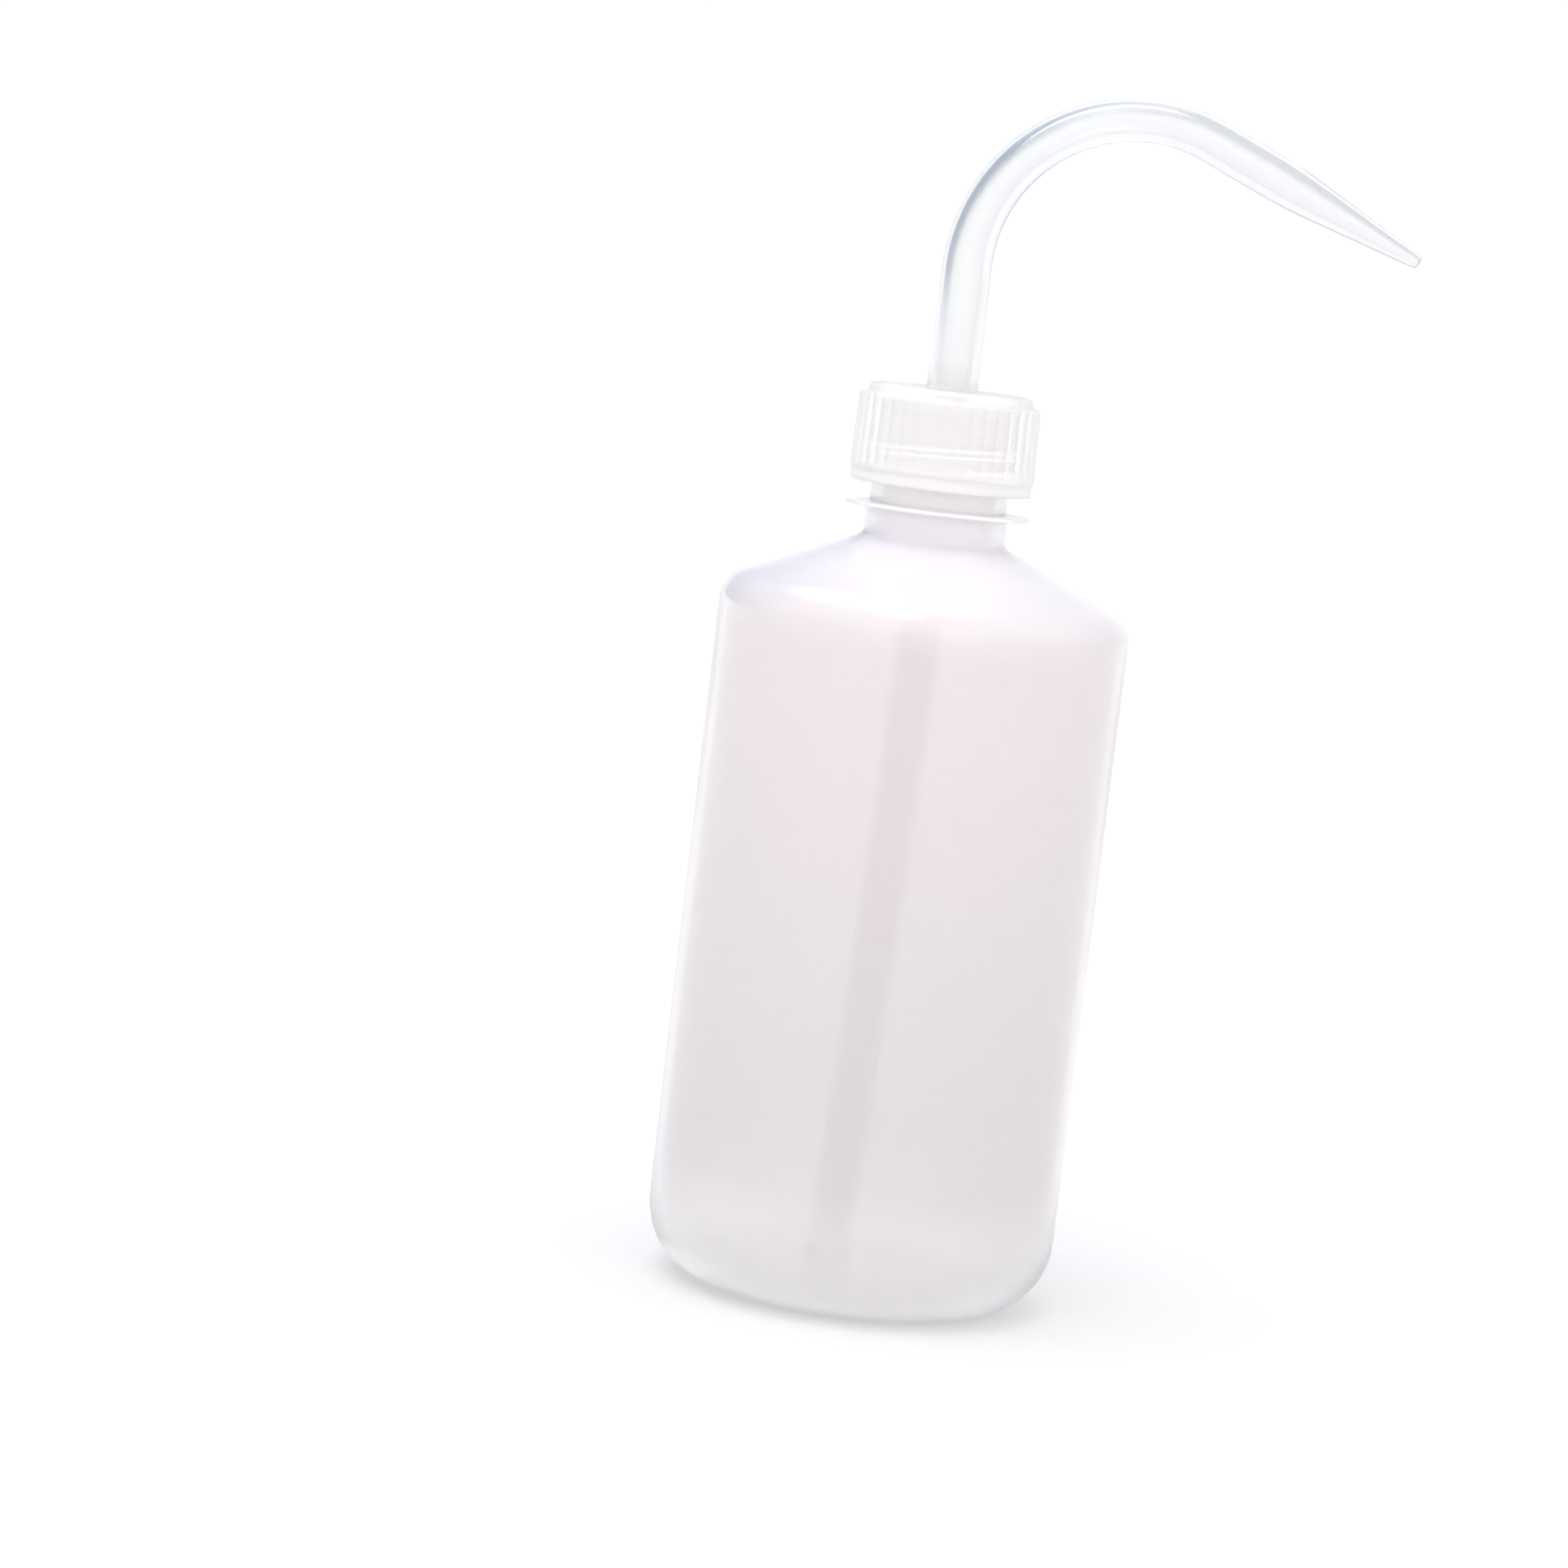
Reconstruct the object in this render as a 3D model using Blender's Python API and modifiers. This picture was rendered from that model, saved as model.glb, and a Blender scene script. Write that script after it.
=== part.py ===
"""Wash bottle: a squeezable 250 mL bottle, a screw closure with a bent nozzle, a draw tube and a seal.

Metres, +Z up. The origin is the centre of the flat base, on the bottle's axis. The nozzle points
along +X. The closure turns on the bottle's thread, about the Z axis.
"""
import math

import bmesh
import bpy

MM = 0.001

# Bottle, outside
BODY_R = 30.5 * MM
BASE_CORNER_R = 10.5 * MM
SHOULDER_TOP_OF_WALL_Z = 101.0 * MM
SHOULDER_CORNER_R = 5.5 * MM
SHOULDER_SLOPE = math.radians(23.3)
LOWER_NECK_R = 10.5 * MM
UPPER_NECK_R = 10.15 * MM
NECK_ROOT_FILLET_R = 1.2 * MM
FLANGE_Z = 117.65 * MM
FLANGE_R = 13.85 * MM
FLANGE_ROOT_HALF = 0.55 * MM
FLANGE_TIP_HALF = 0.25 * MM
LIP_Z = 131.6 * MM
LIP_EDGE_R = 0.5 * MM

# Bottle, inside
WALL = 1.1 * MM
BASE_WALL = 1.4 * MM
NECK_BORE_R = 8.5 * MM

# Thread shared by the neck and the closure: right hand, 8 turns to the inch
PITCH = 3.175 * MM
THREAD_ROOT_HALF = 0.95 * MM
THREAD_CREST_HALF = 0.35 * MM
THREAD_EMBED = 0.15 * MM
THREAD_STEPS_PER_TURN = 32
THREAD_FADE_TURNS = 0.09
NECK_THREAD_Z = 124.0 * MM
NECK_THREAD_START_TURN = 0.5
NECK_THREAD_TURNS = 1.75
NECK_THREAD_CREST_R = 11.55 * MM
CAP_THREAD_START_TURN = 0.75
CAP_THREAD_TURNS = 1.25
CAP_THREAD_CREST_R = 10.75 * MM

# Closure
CAP_BOTTOM_Z = 120.9 * MM
CAP_SHOULDER_Z = 134.0 * MM
CAP_TOP_Z = 135.5 * MM
CAP_BAND_R = 13.4 * MM
CAP_BAND_TOP_Z = 122.9 * MM
CAP_RIB_R_LOW = 13.65 * MM
CAP_RIB_R_HIGH = 13.45 * MM
CAP_DISC_R = 12.2 * MM
CAP_DISC_EDGE_R = 1.1 * MM
CAP_INSIDE_R = 11.95 * MM
CAP_CEILING_Z = 133.6 * MM
RIB_COUNT = 40
GROOVE_DEPTH = 0.35 * MM
GROOVE_HALF = 0.38 * MM
SOCKET_OUTER_R = 4.6 * MM
SOCKET_BOTTOM_Z = 122.6 * MM
SOCKET_SEAT_Z = 133.0 * MM

# Nozzle centreline, in the XZ plane, and its section
NOZZLE_STEM = 17.9 * MM
NOZZLE_BEND_R = 24.3 * MM
NOZZLE_DROOP = math.radians(23.7)
NOZZLE_STRAIGHT = 11.9 * MM
NOZZLE_CONE = 22.6 * MM
NOZZLE_FOOT_R = 3.82 * MM
NOZZLE_FOOT_FILLET_R = 0.5 * MM
NOZZLE_ARM_R = 3.4 * MM
NOZZLE_TIP_R = 1.05 * MM
NOZZLE_WALL = 1.25 * MM
NOZZLE_TIP_BORE_R = 0.5 * MM

# Draw tube
TUBE_R = 3.1 * MM
TUBE_WALL = 0.8 * MM
TUBE_BOTTOM_Z = 4.0 * MM
TUBE_LEAN_START_Z = 120.0 * MM
TUBE_LEAN = 0.016
TUBE_BEND_PER_M = 0.1

# Seal between the lip and the ceiling of the cap
SEAL_OUTER_R = 11.2 * MM
SEAL_INNER_R = 7.0 * MM
SEAL_THICKNESS = 1.4 * MM

# Gap between pieces that touch
GAP = 0.3 * MM

BOTTLE_SEGMENTS = 60
CAP_SEGMENTS = 60
SEAL_SEGMENTS = 48


def start_scene():
    """Empties the scene and makes the two collections."""
    for obj in list(bpy.data.objects):
        bpy.data.objects.remove(obj, do_unlink=True)
    parts = bpy.data.collections.new("wash_bottle")
    cutters = bpy.data.collections.new("cutters")
    bpy.context.scene.collection.children.link(parts)
    bpy.context.scene.collection.children.link(cutters)
    return parts, cutters


def principled(name, colour, roughness, transmission):
    """A plastic with the given colour, roughness and share of light that passes through."""
    material = bpy.data.materials.new(name)
    material.use_nodes = True
    shader = material.node_tree.nodes["Principled BSDF"]
    shader.inputs["Base Color"].default_value = (*colour, 1.0)
    shader.inputs["Roughness"].default_value = roughness
    shader.inputs["Metallic"].default_value = 0.0
    shader.inputs["Transmission Weight"].default_value = transmission
    return material


def arc(centre_r, centre_z, radius, start, end, steps):
    """Points on a circle in the profile plane, from one angle to another, both included."""
    points = []
    for i in range(steps + 1):
        angle = start + (end - start) * i / steps
        points.append((centre_r + radius * math.cos(angle), centre_z + radius * math.sin(angle)))
    return points


def turned(name, profile, closed, segments, collection):
    """A solid of revolution about Z from a profile of (radius, z) points that runs down its outside."""
    mesh = bpy.data.meshes.new(name)
    count = len(profile)
    edges = [(i, i + 1) for i in range(count - 1)]
    if closed:
        edges.append((count - 1, 0))
    mesh.from_pydata([(r, 0.0, z) for r, z in profile], edges, [])
    obj = bpy.data.objects.new(name, mesh)
    collection.objects.link(obj)
    screw = obj.modifiers.new("turn", "SCREW")
    screw.axis = "Z"
    screw.angle = math.tau
    screw.steps = segments
    screw.render_steps = segments
    screw.use_merge_vertices = True
    screw.merge_threshold = 0.00001
    screw.use_smooth_shade = True
    return obj


def solid_from(name, bm, collection):
    """An object from a closed bmesh, with its faces pointing out."""
    bmesh.ops.recalc_face_normals(bm, faces=bm.faces)
    mesh = bpy.data.meshes.new(name)
    bm.to_mesh(mesh)
    bm.free()
    mesh.shade_smooth()
    mesh.set_sharp_from_angle(angle=math.radians(40))
    obj = bpy.data.objects.new(name, mesh)
    collection.objects.link(obj)
    return obj


def round_bar(name, path, radii, bevel_resolution, collection):
    """A bar of changing radius along a path, from a bevelled curve made into a closed mesh."""
    curve = bpy.data.curves.new(name, "CURVE")
    curve.dimensions = "3D"
    curve.bevel_depth = 1.0
    curve.bevel_resolution = bevel_resolution
    curve.use_fill_caps = True
    spline = curve.splines.new("POLY")
    spline.points.add(len(path) - 1)
    for point, place, radius in zip(spline.points, path, radii):
        point.co = (*place, 1.0)
        point.radius = radius
    guide = bpy.data.objects.new(name + "_curve", curve)
    collection.objects.link(guide)
    evaluated = guide.evaluated_get(bpy.context.evaluated_depsgraph_get())
    mesh = bpy.data.meshes.new_from_object(evaluated)
    bm = bmesh.new()
    bm.from_mesh(mesh)
    bmesh.ops.remove_doubles(bm, verts=bm.verts, dist=0.000001)
    obj = solid_from(name, bm, collection)
    obj.matrix_world = guide.matrix_world.copy()
    bpy.data.objects.remove(guide, do_unlink=True)
    bpy.data.meshes.remove(mesh)
    return obj


def thread_ridge(name, embedded_r, crest_r, start_z, start_turn, turns, collection):
    """A helical ridge of trapezoid section between two radii, which fades out at both ends."""
    steps = round(turns * THREAD_STEPS_PER_TURN)
    bm = bmesh.new()
    rings = []
    for i in range(steps + 1):
        turned_by = turns * i / steps
        from_end = min(turned_by, turns - turned_by)
        fade = 0.25 + 0.75 * min(1.0, from_end / THREAD_FADE_TURNS)
        angle = math.tau * (start_turn + turned_by)
        centre_z = start_z + PITCH * turned_by
        crest = embedded_r + (crest_r - embedded_r) * fade
        section = (
            (embedded_r, -THREAD_ROOT_HALF * fade),
            (crest, -THREAD_CREST_HALF * fade),
            (crest, THREAD_CREST_HALF * fade),
            (embedded_r, THREAD_ROOT_HALF * fade),
        )
        ring = []
        for radius, rise in section:
            place = (radius * math.cos(angle), radius * math.sin(angle), centre_z + rise)
            ring.append(bm.verts.new(place))
        rings.append(ring)
    for ring, following in zip(rings, rings[1:]):
        for i in range(4):
            j = (i + 1) % 4
            bm.faces.new((ring[i], ring[j], following[j], following[i]))
    bm.faces.new(rings[0])
    bm.faces.new(rings[-1])
    return solid_from(name, bm, collection)


def combine(obj, tool, operation):
    """Joins a tool to an object, or cuts it away, and hides the tool."""
    modifier = obj.modifiers.new(tool.name, "BOOLEAN")
    modifier.operation = operation
    modifier.object = tool
    tool.hide_render = True
    tool.display_type = "WIRE"


def bottle_outside():
    """The bottle's outer outline, from the lip down to the centre of the base."""
    slope = math.tan(SHOULDER_SLOPE)
    corner_r = BODY_R - SHOULDER_CORNER_R
    cone_end_r = corner_r + SHOULDER_CORNER_R * math.sin(SHOULDER_SLOPE)
    cone_end_z = SHOULDER_TOP_OF_WALL_Z + SHOULDER_CORNER_R * math.cos(SHOULDER_SLOPE)
    fillet_centre_r = LOWER_NECK_R + NECK_ROOT_FILLET_R
    fillet_touch_r = fillet_centre_r - NECK_ROOT_FILLET_R * math.sin(SHOULDER_SLOPE)
    fillet_touch_z = cone_end_z + (cone_end_r - fillet_touch_r) * slope
    fillet_centre_z = fillet_touch_z + NECK_ROOT_FILLET_R * math.cos(SHOULDER_SLOPE)

    points = arc(UPPER_NECK_R - LIP_EDGE_R, LIP_Z - LIP_EDGE_R, LIP_EDGE_R, math.pi / 2, 0.0, 3)
    points += [
        (UPPER_NECK_R, FLANGE_Z + FLANGE_ROOT_HALF),
        (FLANGE_R - FLANGE_TIP_HALF, FLANGE_Z + FLANGE_TIP_HALF),
        (FLANGE_R, FLANGE_Z),
        (FLANGE_R - FLANGE_TIP_HALF, FLANGE_Z - FLANGE_TIP_HALF),
        (LOWER_NECK_R, FLANGE_Z - FLANGE_ROOT_HALF),
    ]
    touch = -math.pi / 2 - SHOULDER_SLOPE
    points += arc(fillet_centre_r, fillet_centre_z, NECK_ROOT_FILLET_R, -math.pi, touch, 4)
    leave = math.pi / 2 - SHOULDER_SLOPE
    points += arc(corner_r, SHOULDER_TOP_OF_WALL_Z, SHOULDER_CORNER_R, leave, 0.0, 6)
    base_r = BODY_R - BASE_CORNER_R
    points += arc(base_r, BASE_CORNER_R, BASE_CORNER_R, 0.0, -math.pi / 2, 9)
    points.append((0.0, 0.0))
    return points


def bottle_inside():
    """The bottle's inner outline, from the centre of the base up to the lip."""
    slope = math.tan(SHOULDER_SLOPE)
    inner_r = BODY_R - WALL
    corner = SHOULDER_CORNER_R - WALL
    corner_r = inner_r - corner
    cone_end_r = corner_r + corner * math.sin(SHOULDER_SLOPE)
    cone_end_z = SHOULDER_TOP_OF_WALL_Z + corner * math.cos(SHOULDER_SLOPE)
    base_corner = BASE_CORNER_R - WALL
    points = [(0.0, BASE_WALL)]
    points += arc(inner_r - base_corner, BASE_WALL + base_corner, base_corner, -math.pi / 2, 0.0, 7)
    leave = math.pi / 2 - SHOULDER_SLOPE
    points += arc(corner_r, SHOULDER_TOP_OF_WALL_Z, corner, 0.0, leave, 5)
    neck_start_z = cone_end_z + (cone_end_r - NECK_BORE_R) * slope
    points += [
        (NECK_BORE_R + LIP_EDGE_R, neck_start_z - LIP_EDGE_R * slope),
        (NECK_BORE_R, neck_start_z + LIP_EDGE_R),
        (NECK_BORE_R, LIP_Z - LIP_EDGE_R),
        (NECK_BORE_R + LIP_EDGE_R, LIP_Z),
    ]
    return points


def make_bottle(parts, cutters):
    """The blow-moulded bottle: body, shoulder, neck, ring and thread in one piece."""
    bottle = turned("bottle", bottle_inside() + bottle_outside(), False, BOTTLE_SEGMENTS, parts)
    ridge = thread_ridge(
        "neck_thread",
        UPPER_NECK_R - THREAD_EMBED,
        NECK_THREAD_CREST_R,
        NECK_THREAD_Z,
        NECK_THREAD_START_TURN,
        NECK_THREAD_TURNS,
        cutters,
    )
    combine(bottle, ridge, "UNION")
    bottle.data.materials.append(principled("natural_ldpe", (0.80, 0.76, 0.79), 0.38, 0.5))
    return bottle


def cap_profile():
    """The cap's outline: over the top, down the skirt, up its inside, and round the tube socket."""
    edge = CAP_DISC_EDGE_R
    socket_bore_r = TUBE_R + GAP
    fillet = NOZZLE_FOOT_FILLET_R
    points = [(0.0, CAP_TOP_Z + fillet)]
    points += arc(NOZZLE_FOOT_R + fillet, CAP_TOP_Z + fillet, fillet, math.pi, 1.5 * math.pi, 3)
    points += arc(CAP_DISC_R - edge, CAP_TOP_Z - edge, edge, math.pi / 2, 0.0, 4)
    points += [
        (CAP_DISC_R + 0.1 * MM, CAP_SHOULDER_Z),
        (CAP_RIB_R_HIGH - 0.6 * MM, CAP_SHOULDER_Z - 0.05 * MM),
        (CAP_RIB_R_HIGH, CAP_SHOULDER_Z - 0.8 * MM),
        (CAP_RIB_R_LOW, CAP_BAND_TOP_Z + 0.2 * MM),
        (CAP_BAND_R, CAP_BAND_TOP_Z),
        (CAP_BAND_R, CAP_BOTTOM_Z + 0.3 * MM),
        (CAP_BAND_R - 0.3 * MM, CAP_BOTTOM_Z),
        (CAP_INSIDE_R + 0.3 * MM, CAP_BOTTOM_Z),
        (CAP_INSIDE_R, CAP_BOTTOM_Z + 0.5 * MM),
        (CAP_INSIDE_R, CAP_CEILING_Z),
        (SOCKET_OUTER_R, CAP_CEILING_Z),
        (SOCKET_OUTER_R - 0.3 * MM, SOCKET_BOTTOM_Z),
        (socket_bore_r + 0.2 * MM, SOCKET_BOTTOM_Z),
        (socket_bore_r, SOCKET_BOTTOM_Z + 0.5 * MM),
        (socket_bore_r, SOCKET_SEAT_Z),
        (0.0, SOCKET_SEAT_Z),
    ]
    return points


def grip_grooves(collection):
    """The grooves between the grip ribs, as one cutter of separate wedge-shaped bars."""
    bm = bmesh.new()
    inner_r = CAP_RIB_R_HIGH - GROOVE_DEPTH
    outer_r = CAP_RIB_R_LOW + 0.6 * MM
    widen = GROOVE_HALF * (outer_r - inner_r) / (CAP_RIB_R_LOW - inner_r)
    top_z = CAP_SHOULDER_Z + 0.4 * MM
    for i in range(RIB_COUNT):
        angle = math.tau * (i + 0.5) / RIB_COUNT
        forward = (math.cos(angle), math.sin(angle))
        sideways = (-forward[1], forward[0])
        corners = ((inner_r, -0.1 * MM), (outer_r, -widen), (outer_r, widen), (inner_r, 0.1 * MM))
        rings = []
        for z in (CAP_BAND_TOP_Z + 0.3 * MM, top_z):
            ring = []
            for out, side in corners:
                x = forward[0] * out + sideways[0] * side
                y = forward[1] * out + sideways[1] * side
                ring.append(bm.verts.new((x, y, z)))
            rings.append(ring)
        low, high = rings
        bm.faces.new(reversed(low))
        bm.faces.new(high)
        for k in range(4):
            following = (k + 1) % 4
            bm.faces.new((low[k], low[following], high[following], high[k]))
    return solid_from("grip_grooves", bm, collection)


def nozzle_path(start_z, past_tip):
    """The nozzle's centreline as (place, share) pairs.

    The share runs from 0 at the foot to 1 where the tip's cone starts, and on to 2 at the tip.
    """
    sweep = math.pi / 2 + NOZZLE_DROOP
    bend_length = NOZZLE_BEND_R * sweep
    before_cone = NOZZLE_STEM + bend_length + NOZZLE_STRAIGHT
    bend_z = CAP_TOP_Z + NOZZLE_STEM
    path = []
    for z in (start_z, CAP_TOP_Z + NOZZLE_STEM * 0.45, bend_z):
        path.append(((0.0, 0.0, z), max(0.0, z - CAP_TOP_Z) / before_cone))
    bend_steps = 20
    for i in range(1, bend_steps + 1):
        angle = sweep * i / bend_steps
        x = NOZZLE_BEND_R * (1.0 - math.cos(angle))
        z = bend_z + NOZZLE_BEND_R * math.sin(angle)
        path.append(((x, 0.0, z), (NOZZLE_STEM + NOZZLE_BEND_R * angle) / before_cone))
    (end_x, _, end_z), _ = path[-1]
    forward, down = math.cos(NOZZLE_DROOP), math.sin(NOZZLE_DROOP)
    cone_steps = 6
    runs = [(NOZZLE_STRAIGHT, 1.0)]
    runs += [(NOZZLE_STRAIGHT + NOZZLE_CONE * i / cone_steps, 1.0 + i / cone_steps)
             for i in range(1, cone_steps + 1)]
    if past_tip:
        runs.append((NOZZLE_STRAIGHT + NOZZLE_CONE + past_tip, 2.0))
    for run, share in runs:
        path.append(((end_x + forward * run, 0.0, end_z - down * run), share))
    return path


def outer_radius(share):
    """The nozzle's outer radius: a slow taper along the arm, then the tip's cone."""
    if share <= 1.0:
        return NOZZLE_FOOT_R + (NOZZLE_ARM_R - NOZZLE_FOOT_R) * min(1.0, share / 0.45)
    return NOZZLE_ARM_R + (NOZZLE_TIP_R - NOZZLE_ARM_R) * (share - 1.0)


def bore_radius(share):
    """The radius of the way through the nozzle."""
    if share <= 1.0:
        return outer_radius(share) - NOZZLE_WALL
    arm_bore_r = NOZZLE_ARM_R - NOZZLE_WALL
    return arm_bore_r + (NOZZLE_TIP_BORE_R - arm_bore_r) * (share - 1.0)


def make_closure(parts, cutters):
    """The moulded closure: ribbed cap, tube socket, thread and bent nozzle with its bore."""
    closure = turned("closure", cap_profile(), False, CAP_SEGMENTS, parts)
    combine(closure, grip_grooves(cutters), "DIFFERENCE")

    ridge = thread_ridge(
        "cap_thread",
        CAP_INSIDE_R + THREAD_EMBED,
        CAP_THREAD_CREST_R,
        NECK_THREAD_Z + PITCH * (CAP_THREAD_START_TURN - NECK_THREAD_START_TURN - 0.5),
        CAP_THREAD_START_TURN,
        CAP_THREAD_TURNS,
        cutters,
    )
    combine(closure, ridge, "UNION")

    path = nozzle_path(CAP_TOP_Z - 1.0 * MM, 0.0)
    places = [place for place, _ in path]
    arm = round_bar("nozzle_arm", places, [outer_radius(share) for _, share in path], 8, cutters)
    combine(closure, arm, "UNION")

    path = nozzle_path(SOCKET_SEAT_Z - 1.0 * MM, 1.0 * MM)
    places = [place for place, _ in path]
    bore = round_bar("nozzle_bore", places, [bore_radius(share) for _, share in path], 5, cutters)
    combine(closure, bore, "DIFFERENCE")

    closure.data.materials.append(principled("clear_polypropylene", (0.86, 0.84, 0.82), 0.2, 0.7))
    return closure


def tube_offset(z):
    """How far the draw tube's centre leans from the bottle's axis at a height."""
    below = max(0.0, TUBE_LEAN_START_Z - z)
    return -(TUBE_LEAN * below + TUBE_BEND_PER_M * below * below)


def make_draw_tube(parts, cutters):
    """The tube from the closure's socket down to the base, which leans away from the nozzle."""
    top_z = SOCKET_SEAT_Z - GAP
    straight_steps = 12
    heights = [top_z]
    for i in range(straight_steps + 1):
        share = i / straight_steps
        heights.append(TUBE_LEAN_START_Z + (TUBE_BOTTOM_Z - TUBE_LEAN_START_Z) * share)
    path = [(tube_offset(z), 0.0, z) for z in heights]
    tube = round_bar("draw_tube", path, [TUBE_R] * len(path), 6, parts)

    beyond = 2.0 * MM
    bore_path = [(0.0, 0.0, top_z + beyond)] + path[1:-1]
    bore_path.append((tube_offset(TUBE_BOTTOM_Z - beyond), 0.0, TUBE_BOTTOM_Z - beyond))
    bore_r = TUBE_R - TUBE_WALL
    bore = round_bar("draw_tube_bore", bore_path, [bore_r] * len(bore_path), 6, cutters)
    combine(tube, bore, "DIFFERENCE")
    tube.data.materials.append(principled("soft_ldpe_tube", (0.78, 0.74, 0.75), 0.35, 0.5))
    return tube


def make_seal(parts):
    """The flat ring that the closure presses on the bottle's lip."""
    low = LIP_Z + GAP
    high = low + SEAL_THICKNESS
    edge = 0.2 * MM
    profile = [
        (SEAL_INNER_R, high),
        (SEAL_OUTER_R - edge, high),
        (SEAL_OUTER_R, high - edge),
        (SEAL_OUTER_R, low + edge),
        (SEAL_OUTER_R - edge, low),
        (SEAL_INNER_R, low),
    ]
    seal = turned("sealing_liner", profile, True, SEAL_SEGMENTS, parts)
    seal.data.materials.append(principled("foamed_seal", (0.82, 0.86, 0.90), 0.6, 0.0))
    return seal


def main():
    parts, cutters = start_scene()
    make_bottle(parts, cutters)
    make_closure(parts, cutters)
    make_draw_tube(parts, cutters)
    make_seal(parts)


main()
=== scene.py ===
"""The wash bottle's looks: fine meshes, materials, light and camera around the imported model.

Metres, +Z up. The origin is the centre of the base. The nozzle points along +X.
"""

import math

import bmesh
import bpy
import numpy as np
from mathutils import Matrix, Vector


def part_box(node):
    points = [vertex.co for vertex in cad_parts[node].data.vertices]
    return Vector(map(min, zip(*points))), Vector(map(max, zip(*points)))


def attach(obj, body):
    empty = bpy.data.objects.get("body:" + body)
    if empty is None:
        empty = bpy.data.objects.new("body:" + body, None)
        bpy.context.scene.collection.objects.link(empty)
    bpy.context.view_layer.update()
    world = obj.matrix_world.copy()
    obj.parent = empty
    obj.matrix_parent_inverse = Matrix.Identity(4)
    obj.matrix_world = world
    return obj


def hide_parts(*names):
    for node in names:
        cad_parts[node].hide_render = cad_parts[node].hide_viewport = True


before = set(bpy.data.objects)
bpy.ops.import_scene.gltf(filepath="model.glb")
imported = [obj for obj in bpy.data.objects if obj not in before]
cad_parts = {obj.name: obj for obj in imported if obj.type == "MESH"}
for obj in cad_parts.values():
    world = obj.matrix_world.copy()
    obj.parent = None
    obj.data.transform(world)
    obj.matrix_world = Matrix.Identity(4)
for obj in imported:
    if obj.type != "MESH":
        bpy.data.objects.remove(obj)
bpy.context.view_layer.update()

MM = 0.001
TURN = math.tau

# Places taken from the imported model
BODY_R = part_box("bottle")[1].x
LIP_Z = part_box("bottle")[1].z
CAP_BOTTOM_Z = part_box("closure")[0].z
TUBE_BOTTOM_Z, TUBE_TOP_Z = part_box("draw_tube")[0].z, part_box("draw_tube")[1].z
SEAL_OUTER_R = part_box("sealing_liner")[1].x
SEAL_LOW_Z, SEAL_HIGH_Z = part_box("sealing_liner")[0].z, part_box("sealing_liner")[1].z

# Bottle
SURFACE_PLAY = 0.12 * MM
BASE_CORNER_R = 10.5 * MM
WALL_TOP_Z = 101.0 * MM
SHOULDER_CORNER_R = 5.5 * MM
SHOULDER_SLOPE = math.radians(23.3)
LOWER_NECK_R = 10.5 * MM
UPPER_NECK_R = 10.15 * MM
NECK_FILLET_R = 1.2 * MM
FLANGE_Z = 117.65 * MM
FLANGE_R = 13.85 * MM
FLANGE_ROOT_HALF = 0.55 * MM
FLANGE_TIP_HALF = 0.25 * MM
LIP_EDGE_R = 0.5 * MM
WALL = 1.1 * MM
BASE_WALL = 1.4 * MM
NECK_BORE_R = 8.5 * MM
PUSH_UP = 1.1 * MM
PUSH_UP_R = 15.6 * MM
STANDING_RING_R = 18.4 * MM
SEAM_HEIGHT = 0.07 * MM
SEAM_SPREAD_DEG = 0.4
PUSH_UP_CROWN = 0.15 * MM
CENTRE_R = 0.6 * MM
FLANGE_ROOT_BLEND = 0.5 * MM
THROAT_BLEND = 1.5 * MM
BODY_MIN_R = 15.0 * MM
UNDERSIDE_MAX_Z = 2.0 * MM
INSIDE_UNEVENNESS = 0.05 * MM
PINCH_OFF_HEIGHT = 0.35 * MM
PINCH_OFF_HALF = 0.45 * MM
PINCH_OFF_REACH = (13.0 * MM, 14.5 * MM)
BOTTLE_COLUMNS = 180
COLUMNS_BESIDE_SEAM_DEG = (-1.2, -0.8, -0.5, -0.25, 0.25, 0.5, 0.8, 1.2)

# Threads
PITCH = 3.175 * MM
THREAD_ROOT_HALF = 0.95 * MM
THREAD_CREST_HALF = 0.35 * MM
THREAD_FADE_TURNS = 0.09
NECK_THREAD_Z = 124.0 * MM
NECK_THREAD_START = 0.5
NECK_THREAD_TURNS = 1.75
NECK_THREAD_CREST_R = 11.55 * MM
CAP_THREAD_START = 0.75
CAP_THREAD_TURNS = 1.25
CAP_THREAD_CREST_R = 10.75 * MM
CAP_THREAD_Z = NECK_THREAD_Z + PITCH * (CAP_THREAD_START - NECK_THREAD_START - 0.5)

# Closure
CAP_SHOULDER_Z = 134.0 * MM
CAP_TOP_Z = 135.5 * MM
CAP_BAND_R = 13.4 * MM
CAP_BAND_TOP_Z = 122.9 * MM
CAP_RIB_R_LOW = 13.65 * MM
CAP_RIB_R_HIGH = 13.45 * MM
CAP_DISC_R = 12.2 * MM
CAP_DISC_EDGE_R = 1.1 * MM
CAP_INSIDE_R = 11.95 * MM
CAP_CEILING_Z = 133.6 * MM
RIB_COUNT = 40
GROOVE_DEPTH = 0.22 * MM
SOCKET_OUTER_R = 4.6 * MM
SOCKET_BORE_R = 3.4 * MM
SOCKET_BOTTOM_Z = 122.6 * MM
SOCKET_SEAT_Z = 133.0 * MM
CAP_BOTTOM_EDGE_R = 0.3 * MM
CAP_CEILING_CORNER_R = 0.3 * MM
SOCKET_END_EDGE_R = 0.25 * MM
SOCKET_ROOT_BLEND = 0.45 * MM
CAP_TOP_RINGS_R = (5.6 * MM, 8.0 * MM)
CAP_CEILING_RINGS_R = (9.0 * MM, 6.2 * MM)
COLUMNS_IN_RIB = (0.0, 0.24, 0.36, 0.44, 0.5, 0.56, 0.64, 0.76)
GROOVE_FLOOR_SHARE, GROOVE_EDGE_SHARE = 0.03, 0.22

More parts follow.
